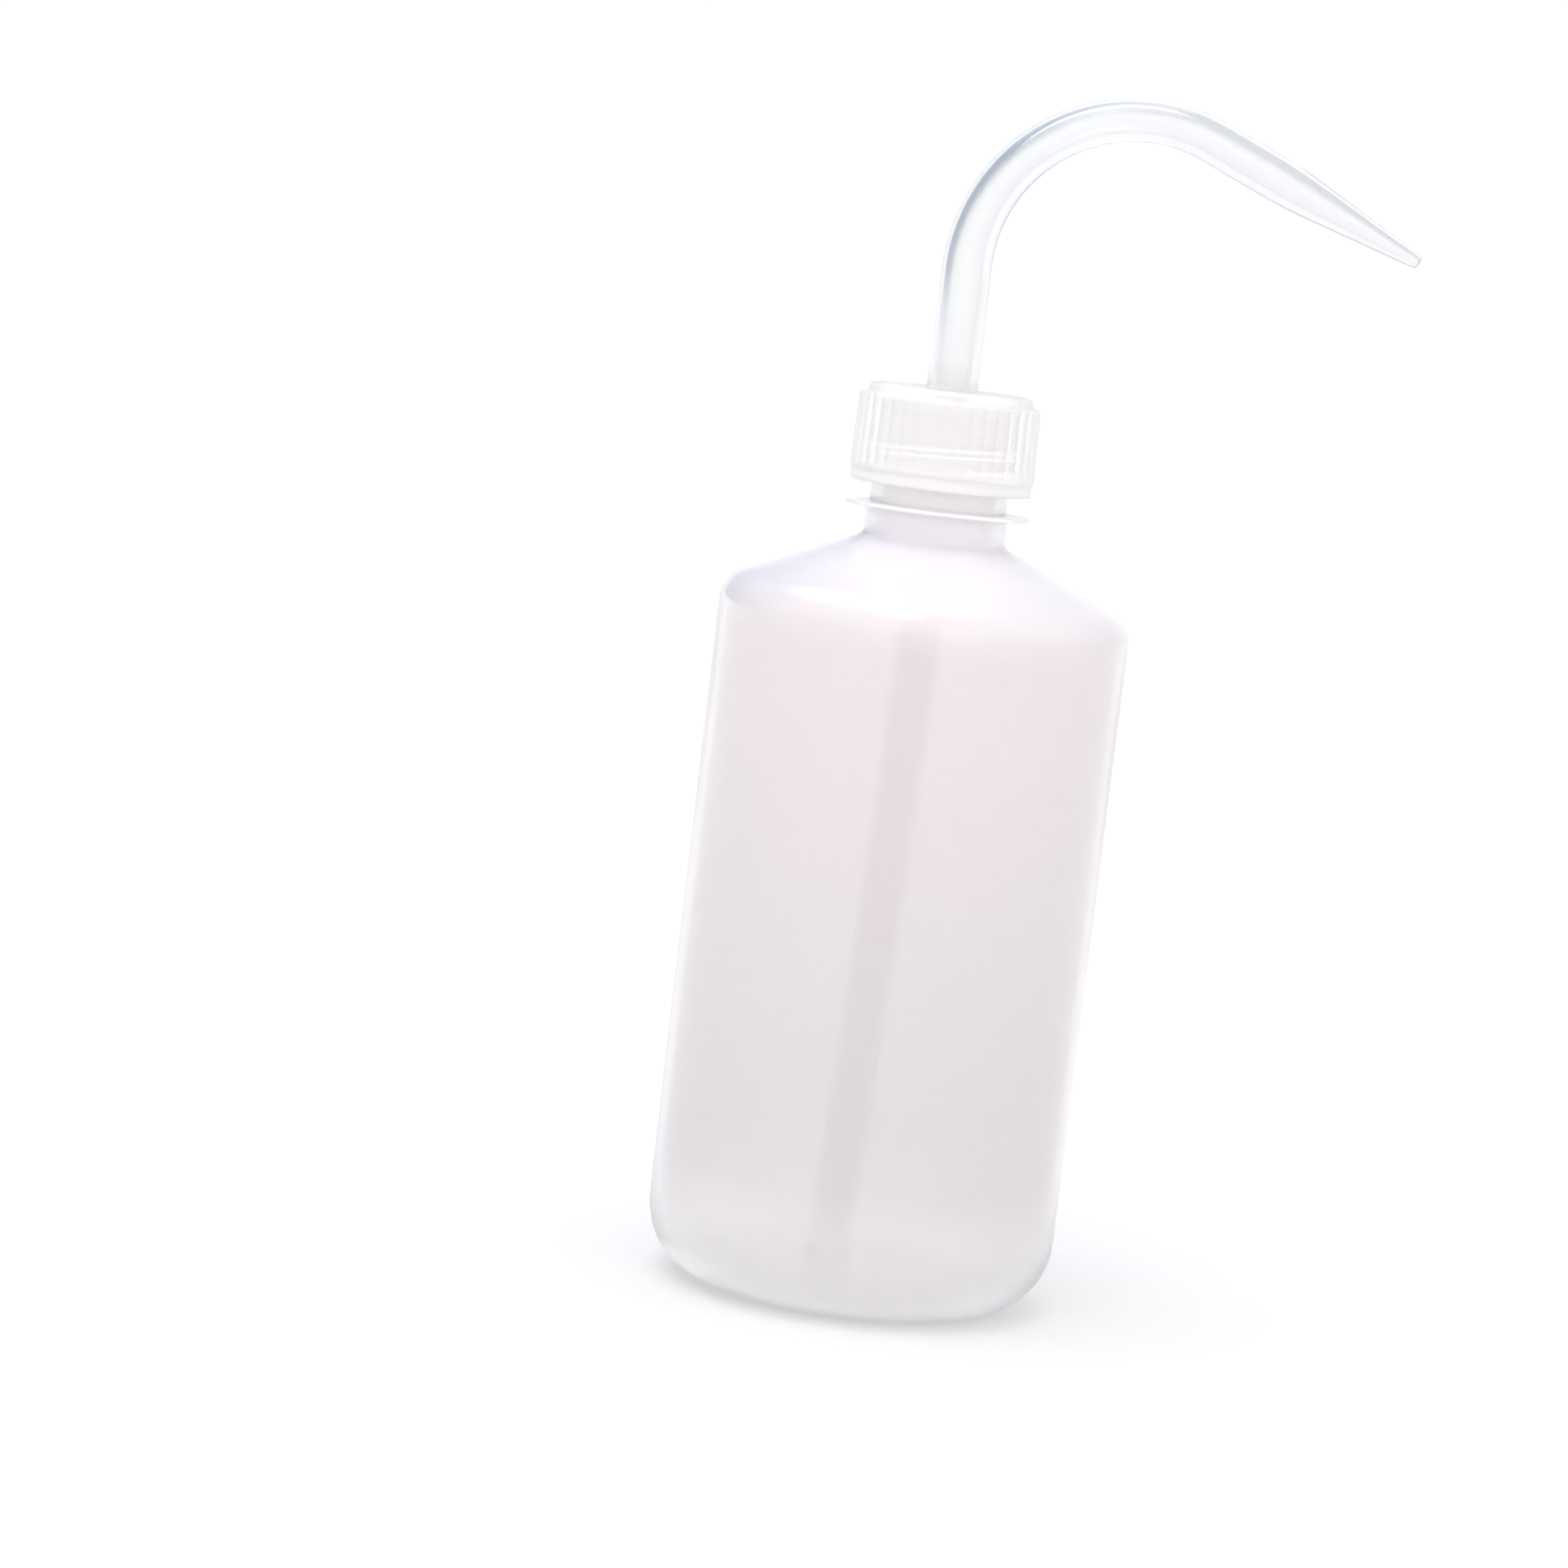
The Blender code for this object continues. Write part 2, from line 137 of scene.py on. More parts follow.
# Nozzle
STEM = 17.9 * MM
BEND_R = 24.3 * MM
BEND = math.pi / 2 + math.radians(23.7)
STRAIGHT = 11.9 * MM
CONE = 22.6 * MM
FOOT_R = 3.82 * MM
FOOT_FILLET_R = 0.5 * MM
NOZZLE_WALL = 1.25 * MM
TIP_R = 1.05 * MM
TIP_BORE_R = 0.5 * MM
TIP_EDGE_R = 0.4 * MM
TIP_FLARE = 0.12 * MM
# How far before the tip the bore's evenly spaced rings stop, it narrows to the tip's bore, and flares
BORE_RINGS_STOP = 1.5 * MM
TIP_BORE_LENGTH = 0.6 * MM
TIP_FLARE_LENGTH = 0.15 * MM
BEND_END = STEM + BEND_R * BEND
CONE_START = BEND_END + STRAIGHT
NOZZLE_END = CONE_START + CONE
WIDTH_PLACES = (0.0, 6.0 * MM, STEM, STEM + 8.5 * MM, STEM + 19.0 * MM, STEM + 38.0 * MM,
                BEND_END, CONE_START, NOZZLE_END)
IN_PLANE_RADII_MM = (3.82, 3.78, 3.72, 3.5, 3.37, 3.24, 3.3, 3.42, 1.05)
ACROSS_RADII_MM = (3.82, 3.78, 3.72, 3.66, 3.62, 3.58, 3.52, 3.42, 1.05)

# Draw tube and seal
TUBE_R = 3.1 * MM
TUBE_WALL = 0.8 * MM
LEAN_START_Z = 120.0 * MM
LEAN = 0.016
LEAN_BEND_PER_M = 0.1
TUBE_EDGE = 0.12 * MM
TUBE_COLUMNS = 72
SEAL_INNER_R = 7.0 * MM
SEAL_EDGE_R = 0.25 * MM
SEAL_COLUMNS = 144
LIP_PRINT_DEPTH = 0.1 * MM

# Camera
CAMERA_PLACE = (-17.73 * MM, -700.0 * MM, 154.4 * MM)
CAMERA_PITCH = math.radians(6.51)
CAMERA_ROLL = math.radians(6.75)
CAMERA_LENS = 108.86
CAMERA_SENSOR = 36.0

# Tones of the plastics and the floor. A pair is the two ends of a tone that varies over the surface
# Painted shade: the wall's tones are darker than the base's and the neck's; the spread between the pair is
# the plastic's own clouding
WALL_CLOUD_AND_SHADE_TONES = ((0.918, 0.862, 0.859), (0.931, 0.877, 0.876))
# Painted shade, darker low on the wall
LOW_WALL_PAINTED_SHADE = (0.831, 0.8, 0.813)
BASE_TONE = (0.998, 0.988, 0.995)
DRAW_LINE_TONE = (0.872, 0.832, 0.84)
SHOULDER_TONE = (0.898, 0.868, 0.922)
NECK_TONE = (0.997, 0.983, 0.986)
CAP_TONES = ((0.932, 0.916, 0.904), (0.942, 0.928, 0.917))
NOZZLE_TONE = (0.94, 0.944, 0.948)
TUBE_TONES = ((0.972, 0.956, 0.966), (0.98, 0.965, 0.975))
FOAM_TONES = ((0.985, 0.99, 0.995), (0.96, 0.97, 0.98))
FLOOR_TONES = ((0.50, 0.50, 0.505), (0.52, 0.52, 0.52))

# Heights between which a plastic's looks change, from where the change starts to where it is full:
# the base's tone and haze set in downwards, the others upwards
BASE_TONE_HEIGHTS = (20.0 * MM, 5.0 * MM)
BASE_HAZE_HEIGHTS = (24.0 * MM, 10.0 * MM)
SHOULDER_HEIGHTS = (WALL_TOP_Z - 3.0 * MM, WALL_TOP_Z + 8.0 * MM)
NECK_HEIGHTS = (WALL_TOP_Z + 12.0 * MM, WALL_TOP_Z + 18.0 * MM)
NOZZLE_HEIGHTS = (CAP_TOP_Z - 0.5 * MM, CAP_TOP_Z + 4.0 * MM)

# Floor and lamp
FLOOR_HALF = 30.0
FLOOR_GLOW = 0.38
LAMP_STRENGTH = 1.25
LAMP_ANGLE = math.radians(60.0)
LAMP_TURN = (math.radians(-6.0), math.radians(-14.0), 0.0)

# Surroundings: the range of the grain in their strength, the tone where no zone is, and zones, each
# a direction, the cosines of the angles to it between which the zone sets in, and its tone.
# In order: behind, in front, left, right, high on the left, high on the right, and a softbox's halves
WORLD_GRAIN = (0.2, 1.9)
WORLD_FRONT = (0.99, 0.98, 0.972)
WORLD_ZONES = (
    ((0.0, 1.0, 0.0), (-0.6, 0.5), (1.04, 1.04, 1.04)),
    ((0.1, -1.0, 0.05), (0.6, 0.95), (1.5, 1.49, 1.475)),
    ((-0.75, 0.62, 0.05), (0.80, 0.95), (0.42, 0.46, 0.53)),
    ((0.75, 0.62, 0.05), (0.82, 0.97), (0.82, 0.82, 0.80)),
    ((-0.45, 0.60, 0.66), (0.66, 0.92), (0.26, 0.33, 0.45)),
    ((0.31, 0.64, 0.70), (0.75, 0.98), (0.60, 0.63, 0.68)),
    ((-0.15, -0.57, 0.809), (0.990, 0.994), (4.5, 4.5, 4.5)),
    ((-0.29, -0.51, 0.809), (0.990, 0.994), (4.5, 4.5, 4.5)),
)


# ---------------------------------------------------------------- outlines and surfaces

def arc(centre, radius, start, end, steps):
    """Points on a circle in the outline's plane, from one angle to another in degrees."""
    angles = np.radians(np.linspace(start, end, steps + 1))
    return [(centre[0] + radius * math.cos(a), centre[1] + radius * math.sin(a)) for a in angles]


def run(start, end, steps):
    """Evenly spaced points on a straight stretch of an outline."""
    return [tuple(p) for p in np.linspace(start, end, steps + 1)]


def blend_corner(start, corner, end, steps):
    """A soft corner: a curve from start to end that is drawn towards the corner point."""
    start, corner, end = (np.array(p) for p in (start, corner, end))
    shares = np.linspace(0.0, 1.0, steps + 1)
    return [tuple((1 - t) ** 2 * start + 2 * t * (1 - t) * corner + t * t * end) for t in shares]


def outline(*stretches):
    """One list of points from several stretches, without doubled points."""
    points = []
    for stretch in stretches:
        for point in stretch:
            if not points or math.dist(points[-1], point) > 0.001 * MM:
                points.append(point)
    return points


def smooth_step(low, high, value):
    """0 below low and 1 above high, with a smooth change between."""
    share = np.clip((value - low) / (high - low), 0.0, 1.0)
    return share * share * (3.0 - 2.0 * share)


def turned_ring(radii, z, angles):
    """A ring about the Z axis, with a radius of its own at each angle."""
    heights = np.broadcast_to(z, angles.shape)
    return np.stack([radii * np.cos(angles), radii * np.sin(angles), heights], axis=1)


def join_rings(faces, first, count, second, second_count):
    """Faces between two rings of one column count, or where one count is a multiple of the other."""
    if count == second_count:
        for i in range(count):
            j = (i + 1) % count
            faces.append((first + i, first + j, second + j, second + i))
        return
    coarse, fine, few, many = first, second, count, second_count
    if count > second_count:
        coarse, fine, few, many = second, first, second_count, count
    step = many // few
    for i in range(few):
        edge = [fine + (i * step + k) % many for k in range(step + 1)]
        faces.append((coarse + (i + 1) % few, coarse + i, *edge))


def surface(name, rings, poles=None, looped=False):
    """A closed, smooth-shaded mesh through rings of points, ended by two poles or joined end to end."""
    places = np.concatenate(rings)
    starts = np.cumsum([0] + [len(ring) for ring in rings])
    faces = []
    for k in range(len(rings) - 1):
        join_rings(faces, starts[k], len(rings[k]), starts[k + 1], len(rings[k + 1]))
    if looped:
        join_rings(faces, starts[-2], len(rings[-1]), starts[0], len(rings[0]))
    if poles is not None:
        places = np.concatenate([places, np.array(poles)])
        for pole, start, count in ((0, starts[0], len(rings[0])), (1, starts[-2], len(rings[-1]))):
            for i in range(count):
                faces.append((starts[-1] + pole, start + i, start + (i + 1) % count))
    mesh = bpy.data.meshes.new(name)
    mesh.from_pydata(places.tolist(), [], [tuple(int(v) for v in face) for face in faces])
    obj = bpy.data.objects.new(name, mesh)
    bpy.context.scene.collection.objects.link(obj)
    return face_out(obj)


def face_out(obj):
    """Turns a closed mesh's faces to the outside and shades it smooth."""
    bm = bmesh.new()
    bm.from_mesh(obj.data)
    bmesh.ops.recalc_face_normals(bm, faces=bm.faces)
    bm.to_mesh(obj.data)
    bm.free()
    obj.data.shade_smooth()
    return obj


def ridge_height(angles, z, start_turn, turns, start_z):
    """How much of a thread ridge's full height stands at each angle, at height z."""
    height = np.zeros_like(angles)
    for lap in range(-1, 3):
        turned_by = angles / TURN - start_turn + lap
        along = np.minimum(turned_by, turns - turned_by)
        fade = smooth_step(0.0, THREAD_FADE_TURNS, along)
        away = np.abs(z - (start_z + PITCH * turned_by))
        across = 1.0 - smooth_step(THREAD_CREST_HALF * 0.7, THREAD_ROOT_HALF, away)
        height = np.maximum(height, np.where(along > 0.0, across * fade, 0.0))
    return height


# ---------------------------------------------------------------- bottle

def push_up(radius):
    """How far the underside of the base rises above the ring that it stands on."""
    rise = PUSH_UP * (1.0 - smooth_step(PUSH_UP_R, STANDING_RING_R, radius))
    return rise + PUSH_UP_CROWN * (1.0 - smooth_step(0.0, PUSH_UP_R, radius))


def bottle_outside():
    """The outline from the lip down to the rim of the base."""
    body_r = BODY_R - SURFACE_PLAY
    slope = math.degrees(SHOULDER_SLOPE)
    corner = (body_r - SHOULDER_CORNER_R, WALL_TOP_Z)
    shoulder = arc(corner, SHOULDER_CORNER_R, 90.0 - slope, 0.0, 16)
    fillet_r = LOWER_NECK_R + NECK_FILLET_R
    touch_r = fillet_r - NECK_FILLET_R * math.sin(SHOULDER_SLOPE)
    touch_z = shoulder[0][1] + (shoulder[0][0] - touch_r) * math.tan(SHOULDER_SLOPE)
    fillet = arc((fillet_r, touch_z + NECK_FILLET_R * math.cos(SHOULDER_SLOPE)),
                 NECK_FILLET_R, -180.0, -90.0 - slope, 8)
    root, tip = FLANGE_ROOT_HALF, FLANGE_TIP_HALF
    blend = FLANGE_ROOT_BLEND
    flange_top = blend_corner(
        (UPPER_NECK_R, FLANGE_Z + root + blend), (UPPER_NECK_R, FLANGE_Z + root),
        (UPPER_NECK_R + 1.1 * blend, FLANGE_Z + root - 0.1 * blend), 5)
    flange_low = blend_corner(
        (LOWER_NECK_R + blend, FLANGE_Z - root + 0.08 * blend), (LOWER_NECK_R, FLANGE_Z - root),
        (LOWER_NECK_R, FLANGE_Z - root - blend), 5)
    flange_tip = arc((FLANGE_R - tip, FLANGE_Z), tip, 80.0, -80.0, 8)
    thread_steps = 72
    return outline(
        run((NECK_BORE_R + LIP_EDGE_R, LIP_Z), (UPPER_NECK_R - LIP_EDGE_R, LIP_Z), 2),
        arc((UPPER_NECK_R - LIP_EDGE_R, LIP_Z - LIP_EDGE_R), LIP_EDGE_R, 90.0, 0.0, 5),
        run((UPPER_NECK_R, LIP_Z - LIP_EDGE_R), flange_top[0], thread_steps),
        flange_top,
        run(flange_top[-1], flange_tip[0], 4),
        flange_tip,
        run(flange_tip[-1], flange_low[0], 4),
        flange_low,
        run(flange_low[-1], fillet[0], 3),
        fillet,
        run(fillet[-1], shoulder[0], 12),
        shoulder,
        run(shoulder[-1], (body_r, BASE_CORNER_R), 30),
        arc((body_r - BASE_CORNER_R, BASE_CORNER_R), BASE_CORNER_R, 0.0, -90.0, 18),
        [(r, push_up(r)) for r in np.linspace(body_r - BASE_CORNER_R, CENTRE_R, 22)],
    )


def bottle_inside():
    """The outline from the centre of the base up to the lip."""
    inner_r = BODY_R - SURFACE_PLAY - WALL
    corner_r = SHOULDER_CORNER_R - WALL
    heel_r = BASE_CORNER_R - WALL
    slope = math.degrees(SHOULDER_SLOPE)
    shoulder = arc((inner_r - corner_r, WALL_TOP_Z), corner_r, 0.0, 90.0 - slope, 12)
    neck_start_z = shoulder[-1][1] + (shoulder[-1][0] - NECK_BORE_R) * math.tan(SHOULDER_SLOPE)
    throat = blend_corner(
        (NECK_BORE_R + THROAT_BLEND, neck_start_z - THROAT_BLEND * math.tan(SHOULDER_SLOPE)),
        (NECK_BORE_R, neck_start_z), (NECK_BORE_R, neck_start_z + 1.6 * MM), 8)
    return outline(
        [(r, BASE_WALL + push_up(r)) for r in np.linspace(CENTRE_R, inner_r - heel_r, 20)],
        arc((inner_r - heel_r, BASE_WALL + heel_r), heel_r, -90.0, 0.0, 16),
        run((inner_r, BASE_WALL + heel_r), shoulder[0], 24),
        shoulder,
        run(shoulder[-1], throat[0], 8),
        throat,
        run(throat[-1], (NECK_BORE_R, LIP_Z - LIP_EDGE_R), 6),
        arc((NECK_BORE_R + LIP_EDGE_R, LIP_Z - LIP_EDGE_R), LIP_EDGE_R, 180.0, 90.0, 5),
    )


def bottle_columns():
    """The angles of the bottle's columns: even, and closer together at the two mould seams."""
    even = np.arange(BOTTLE_COLUMNS) / BOTTLE_COLUMNS * TURN
    beside = np.radians(COLUMNS_BESIDE_SEAM_DEG)
    return np.unique(np.round(np.concatenate([even, beside % TURN, beside + math.pi]), 6))


def body_waviness(angles, z):
    """The slow unevenness of a blow-moulded wall: within the play, and none at the neck or base."""
    share = smooth_step(4.0 * MM, 25.0 * MM, z) * (1.0 - smooth_step(92.0 * MM, 104.0 * MM, z))
    wave = 0.5 * np.sin(2.0 * angles + 0.6 + z * 18.0) + 0.3 * np.sin(3.0 * angles - z * 55.0)
    wave += 0.2 * np.sin(z * 210.0 + np.cos(angles))
    return SURFACE_PLAY * 0.45 * share * wave


def seam_height(angles, z):
    """The two upright lines that the mould halves leave, at +X and -X."""
    away = np.degrees(np.abs((angles + math.pi / 2) % math.pi - math.pi / 2))
    along = smooth_step(1.0 * MM, 8.0 * MM, z) * (1.0 - smooth_step(115.0 * MM, 116.5 * MM, z))
    return SEAM_HEIGHT * np.exp(-(away / SEAM_SPREAD_DEG) ** 2) * along


def make_bottle(material):
    """Body, shoulder, neck, flange and thread: one closed wall with an inside and an outside."""
    angles = bottle_columns()
    rings = []
    for r, z in bottle_inside():
        radii = r + body_waviness(angles + 0.4, z) + INSIDE_UNEVENNESS * np.sin(angles + z * 30.0)
        radii = np.where(z > WALL_TOP_Z, r, radii) if r > BODY_MIN_R else np.full_like(angles, r)
        rings.append(turned_ring(radii, z, angles))
    for r, z in bottle_outside():
        radii = np.full_like(angles, r)
        heights = np.full_like(angles, z)
        if z > FLANGE_Z + 1.0 * MM:
            ridge = ridge_height(angles, z, NECK_THREAD_START, NECK_THREAD_TURNS, NECK_THREAD_Z)
            radii += (NECK_THREAD_CREST_R - UPPER_NECK_R) * ridge
        elif r > BODY_MIN_R:
            radii += body_waviness(angles, z) + seam_height(angles, z)
        elif z < UNDERSIDE_MAX_Z:
            across = r * np.sin(angles)
            pinch = np.exp(-(across / PINCH_OFF_HALF) ** 2) * (1.0 - smooth_step(*PINCH_OFF_REACH, r))
            heights -= PINCH_OFF_HEIGHT * pinch
        rings.append(turned_ring(radii, heights, angles))
    top = (0.0, 0.0, BASE_WALL + push_up(0.0))
    bottom = (0.0, 0.0, push_up(0.0) - PINCH_OFF_HEIGHT)
    bottle = surface("bottle_shell", rings, poles=(top, bottom))
    bottle.data.materials.append(material)
    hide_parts("bottle")
    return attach(bottle, "bottle")


# ---------------------------------------------------------------- closure

def nozzle_place(along):
    """The nozzle's centre and the direction in its plane across it, at a run length from the cap's top."""
    angle = min(max((along - STEM) / BEND_R, 0.0), BEND)
    centre = np.array([
        BEND_R * (1.0 - math.cos(angle)), 0.0, CAP_TOP_Z + min(along, STEM) + BEND_R * math.sin(angle)])
    past = max(0.0, along - BEND_END)
    centre += past * np.array([math.sin(BEND), 0.0, math.cos(BEND)])
    return centre, np.array([math.cos(angle), 0.0, -math.sin(angle)])


def nozzle_radii(along):
    """The nozzle's outer radius in its plane and across it: bending has flattened it a little."""
    in_plane = np.interp(along, WIDTH_PLACES, np.array(IN_PLANE_RADII_MM) * MM)
    across = np.interp(along, WIDTH_PLACES, np.array(ACROSS_RADII_MM) * MM)
    return in_plane, across


def nozzle_ring(along, in_plane, across, columns):
    """A ring of the nozzle's outside or bore."""
    centre, towards = nozzle_place(along)
    angles = np.arange(columns) / columns * TURN
    sideways = np.array([0.0, 1.0, 0.0])
    return (centre + np.outer(in_plane * np.cos(angles), towards)
            + np.outer(across * np.sin(angles), sideways))


def nozzle_stations(past_cone):
    """Run lengths of the nozzle's rings, from its foot to where the tip's rounded edge starts."""
    return np.unique(np.concatenate([
        np.linspace(FOOT_FILLET_R, STEM, 12), np.linspace(STEM, BEND_END, 61),
        np.linspace(BEND_END, CONE_START, 9), np.linspace(CONE_START, NOZZLE_END - past_cone, 22)]))


def soften(values, passes):
    """Evens out a list of numbers, with its ends kept."""
    values = np.array(values)
    for _ in range(passes):
        values[1:-1] = (values[:-2] + 2.0 * values[1:-1] + values[2:]) / 4.0
    return values


def nozzle_outside(columns):
    """Rings from the foot to the tip, with a rounded end."""
    stations = nozzle_stations(TIP_EDGE_R)
    in_plane = soften([nozzle_radii(s)[0] for s in stations], 8)
    across = soften([nozzle_radii(s)[1] for s in stations], 8)
    rings = [nozzle_ring(s, a, b, columns) for s, a, b in zip(stations, in_plane, across)]
    for angle in (30.0, 55.0, 75.0, 90.0):
        turn = math.radians(angle)
        radius = in_plane[-1] - TIP_EDGE_R * (1.0 - math.cos(turn))
        rings.append(nozzle_ring(NOZZLE_END - TIP_EDGE_R * (1.0 - math.sin(turn)), radius, radius, columns))
    return rings


def nozzle_bore(columns):
    """Rings of the way through, from the tube's seat to the tip."""
    rings = []
    for z in (SOCKET_SEAT_Z, SOCKET_SEAT_Z + 0.8 * MM, CAP_TOP_Z):
        rings.append(nozzle_ring(z - CAP_TOP_Z, FOOT_R - NOZZLE_WALL, FOOT_R - NOZZLE_WALL, columns))
    stations = np.append(nozzle_stations(BORE_RINGS_STOP)[::2], NOZZLE_END - TIP_BORE_LENGTH)
    walls = np.interp(stations, [0.0, CONE_START, NOZZLE_END],
                      [NOZZLE_WALL, NOZZLE_WALL, TIP_R - TIP_BORE_R])
    in_plane = soften([nozzle_radii(s)[0] for s in stations], 4) - walls
    across = soften([nozzle_radii(s)[1] for s in stations], 4) - walls
    rings += [nozzle_ring(s, a, b, columns) for s, a, b in zip(stations, in_plane, across)]
    rings.append(nozzle_ring(NOZZLE_END - TIP_FLARE_LENGTH, TIP_BORE_R, TIP_BORE_R, columns))
    rings.append(nozzle_ring(NOZZLE_END, TIP_BORE_R + TIP_FLARE, TIP_BORE_R + TIP_FLARE, columns))
    return rings


def cap_columns():
    """The angles of the cap's columns, eight to a rib, close together in the grooves."""
    return (np.add.outer(np.arange(RIB_COUNT), np.array(COLUMNS_IN_RIB)) / RIB_COUNT * TURN).ravel()


def groove_share(angles):
    """1 in the middle of a groove between ribs, 0 on the ribs."""
    away = np.abs((angles / TURN * RIB_COUNT) % 1.0 - 0.5)
    return 1.0 - smooth_step(GROOVE_FLOOR_SHARE, GROOVE_EDGE_SHARE, away)


def cap_outside():
    """The outline from the disc, over the rib shoulder and down to the bottom edge."""
    disc_edge = arc((CAP_DISC_R - CAP_DISC_EDGE_R, CAP_TOP_Z - CAP_DISC_EDGE_R),
                    CAP_DISC_EDGE_R, 90.0, 0.0, 8)
    step = blend_corner((CAP_DISC_R, CAP_SHOULDER_Z + 0.25 * MM), (CAP_DISC_R, CAP_SHOULDER_Z),
                        (CAP_DISC_R + 0.25 * MM, CAP_SHOULDER_Z), 4)
    rib_top = blend_corner((CAP_RIB_R_HIGH - 0.7 * MM, CAP_SHOULDER_Z - 0.05 * MM),
                           (CAP_RIB_R_HIGH, CAP_SHOULDER_Z - 0.1 * MM),
                           (CAP_RIB_R_HIGH, CAP_SHOULDER_Z - 0.8 * MM), 7)
    band_top = blend_corner((CAP_RIB_R_LOW, CAP_BAND_TOP_Z + 0.5 * MM),
                            (CAP_RIB_R_LOW - 0.02 * MM, CAP_BAND_TOP_Z),
                            (CAP_BAND_R, CAP_BAND_TOP_Z - 0.15 * MM), 5)
    bottom_edge = arc((CAP_BAND_R - CAP_BOTTOM_EDGE_R, CAP_BOTTOM_Z + CAP_BOTTOM_EDGE_R),
                      CAP_BOTTOM_EDGE_R, 0.0, -90.0, 4)
    return outline(
        [(r, CAP_TOP_Z) for r in CAP_TOP_RINGS_R], disc_edge, step, rib_top,
        run(rib_top[-1], band_top[0], 14), band_top,
        run(band_top[-1], bottom_edge[0], 3), bottom_edge)


def cap_inside():
    """The outline from the bottom edge up the threaded wall and across the ceiling."""
    entry = blend_corner((CAP_INSIDE_R + 0.35 * MM, CAP_BOTTOM_Z), (CAP_INSIDE_R, CAP_BOTTOM_Z),
                         (CAP_INSIDE_R, CAP_BOTTOM_Z + 0.5 * MM), 4)
    corner = arc((CAP_INSIDE_R - CAP_CEILING_CORNER_R, CAP_CEILING_Z - CAP_CEILING_CORNER_R),
                 CAP_CEILING_CORNER_R, 0.0, 90.0, 3)
    return outline(entry, run(entry[-1], corner[0], 74), corner,
                   [(r, CAP_CEILING_Z) for r in CAP_CEILING_RINGS_R])


def socket_outline():
    """The outline of the tube's socket, from the ceiling down its outside and up its bore to the seat."""
    low_r = SOCKET_OUTER_R - 0.3 * MM
    root = blend_corner((SOCKET_OUTER_R + SOCKET_ROOT_BLEND, CAP_CEILING_Z),
                        (SOCKET_OUTER_R, CAP_CEILING_Z),
                        (SOCKET_OUTER_R, CAP_CEILING_Z - SOCKET_ROOT_BLEND), 4)
    end = arc((low_r - SOCKET_END_EDGE_R, SOCKET_BOTTOM_Z + SOCKET_END_EDGE_R),
              SOCKET_END_EDGE_R, 0.0, -90.0, 3)
    entry = blend_corner((SOCKET_BORE_R + 0.3 * MM, SOCKET_BOTTOM_Z),
                         (SOCKET_BORE_R, SOCKET_BOTTOM_Z + 0.05 * MM),
                         (SOCKET_BORE_R, SOCKET_BOTTOM_Z + 0.5 * MM), 4)
    return outline([(5.5 * MM, CAP_CEILING_Z)], root, run(root[-1], end[0], 8), end, entry,
                   run(entry[-1], (SOCKET_BORE_R, SOCKET_SEAT_Z), 6),
                   [(SOCKET_BORE_R - 0.3 * MM, SOCKET_SEAT_Z)])


def make_closure(material):
    """Ribbed cap, tube socket and bent nozzle: one closed surface, outside, inside and through the bore."""
    columns = RIB_COUNT * 2
    around = np.arange(columns) / columns * TURN
    fine = cap_columns()
    rings = nozzle_outside(columns)[::-1]
    foot = arc((FOOT_R + FOOT_FILLET_R, CAP_TOP_Z + FOOT_FILLET_R), FOOT_FILLET_R, 180.0, 270.0, 5)
    for r, z in foot[1:] + [(4.9 * MM, CAP_TOP_Z)]:
        rings.append(turned_ring(np.full_like(around, r), z, around))
    for r, z in cap_outside():
        floor_r = np.interp(z, [CAP_BAND_TOP_Z, CAP_SHOULDER_Z], [CAP_RIB_R_LOW, CAP_RIB_R_HIGH])
        depth = GROOVE_DEPTH * smooth_step(CAP_BAND_TOP_Z + 0.2 * MM, CAP_BAND_TOP_Z + 1.1 * MM, z)
        rings.append(turned_ring(np.minimum(r, floor_r - depth * groove_share(fine)), z, fine))
    for r, z in cap_inside():
        ridge = ridge_height(fine, z, CAP_THREAD_START, CAP_THREAD_TURNS, CAP_THREAD_Z)
        radii = np.full_like(fine, r)
        if z < CAP_CEILING_Z - 0.4 * MM:
            radii -= (CAP_INSIDE_R - CAP_THREAD_CREST_R) * ridge
        rings.append(turned_ring(radii, z, fine))
    for r, z in socket_outline():
        rings.append(turned_ring(np.full_like(around, r), z, around))
    rings += nozzle_bore(columns)
    closure = surface("closure_with_nozzle", rings, looped=True)
    closure.data.materials.append(material)
    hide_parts("closure")
    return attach(closure, "closure")


# ---------------------------------------------------------------- draw tube and seal

def tube_offset(z):
    """How far the draw tube's centre leans from the bottle's axis at a height."""
    below = max(0.0, LEAN_START_Z - z)
    return -(LEAN * below + LEAN_BEND_PER_M * below * below)


def make_draw_tube(material):
    """The tube with its wall, down its outside and up its bore."""
    angles = np.arange(TUBE_COLUMNS) / TUBE_COLUMNS * TURN
    edge = TUBE_EDGE
    heights = np.linspace(TUBE_TOP_Z - edge, TUBE_BOTTOM_Z + edge, 40)
    stations = [(TUBE_R - edge, TUBE_TOP_Z)] + [(TUBE_R, z) for z in heights]
    stations += [(TUBE_R - edge, TUBE_BOTTOM_Z), (TUBE_R - TUBE_WALL + edge, TUBE_BOTTOM_Z)]
    stations += [(TUBE_R - TUBE_WALL, z) for z in heights[::-1]]
    stations += [(TUBE_R - TUBE_WALL + edge, TUBE_TOP_Z)]
    rings = []
    for r, z in stations:
        ring = turned_ring(np.full_like(angles, r), z, angles)
        ring[:, 0] += tube_offset(z)
        rings.append(ring)
    tube = surface("dip_tube", rings, looped=True)
    tube.data.materials.append(material)
    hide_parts("draw_tube")
    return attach(tube, "closure")


